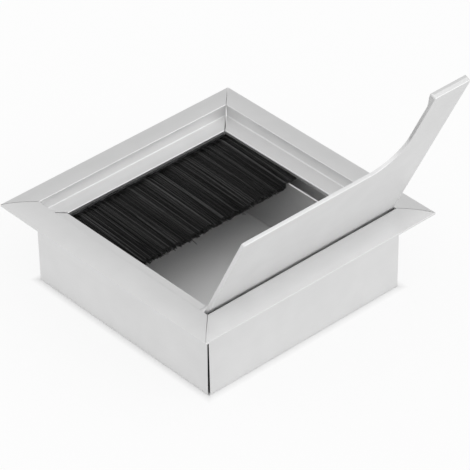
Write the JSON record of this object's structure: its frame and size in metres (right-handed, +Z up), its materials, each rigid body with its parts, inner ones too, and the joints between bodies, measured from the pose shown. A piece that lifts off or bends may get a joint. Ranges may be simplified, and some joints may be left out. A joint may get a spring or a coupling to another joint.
{
  "type": "desk cable grommet",
  "caption": "Square aluminium desk cable grommet with mitred frame, brush strip and L-shaped flip lid, for leading cables down through a desktop.",
  "frame": {"origin": "centre of the square frame on the desk surface, which is the plane of the flange's underside", "axes": "+Z up out of the desk; the lid's hinge runs along X on the -Y side; the brush comes in from +Y"},
  "size_m": [0.08, 0.098, 0.0785],
  "materials": {
    "frame_aluminium": "satin anodised",
    "lid_aluminium": "satin anodised",
    "corner_key": "moulded nylon",
    "pin_steel": "turned",
    "strip_steel": "galvanised",
    "bristle_nylon": "nylon bristles"
  },
  "bodies": {
    "frame": {"hinge_rail": "frame_aluminium", "brush_rail": "frame_aluminium", "left_rail": "frame_aluminium", "right_rail": "frame_aluminium", "corner_key_brush_right": "corner_key", "corner_key_brush_left": "corner_key", "corner_key_hinge_left": "corner_key", "corner_key_hinge_right": "corner_key", "brush_channel": "strip_steel", "brush_wire": "strip_steel", "bristles": "bristle_nylon"},
    "lid": {"lid": "lid_aluminium", "hinge_pin_left": "pin_steel", "hinge_pin_right": "pin_steel"}
  },
  "joints": [
    {"name": "lid_hinge", "type": "hinge", "parent": "frame", "child": "lid", "pos_m": [0, -0.02936, -0.00049], "axis": [1, 0, 0], "range_deg": [-117, 0]}
  ]
}
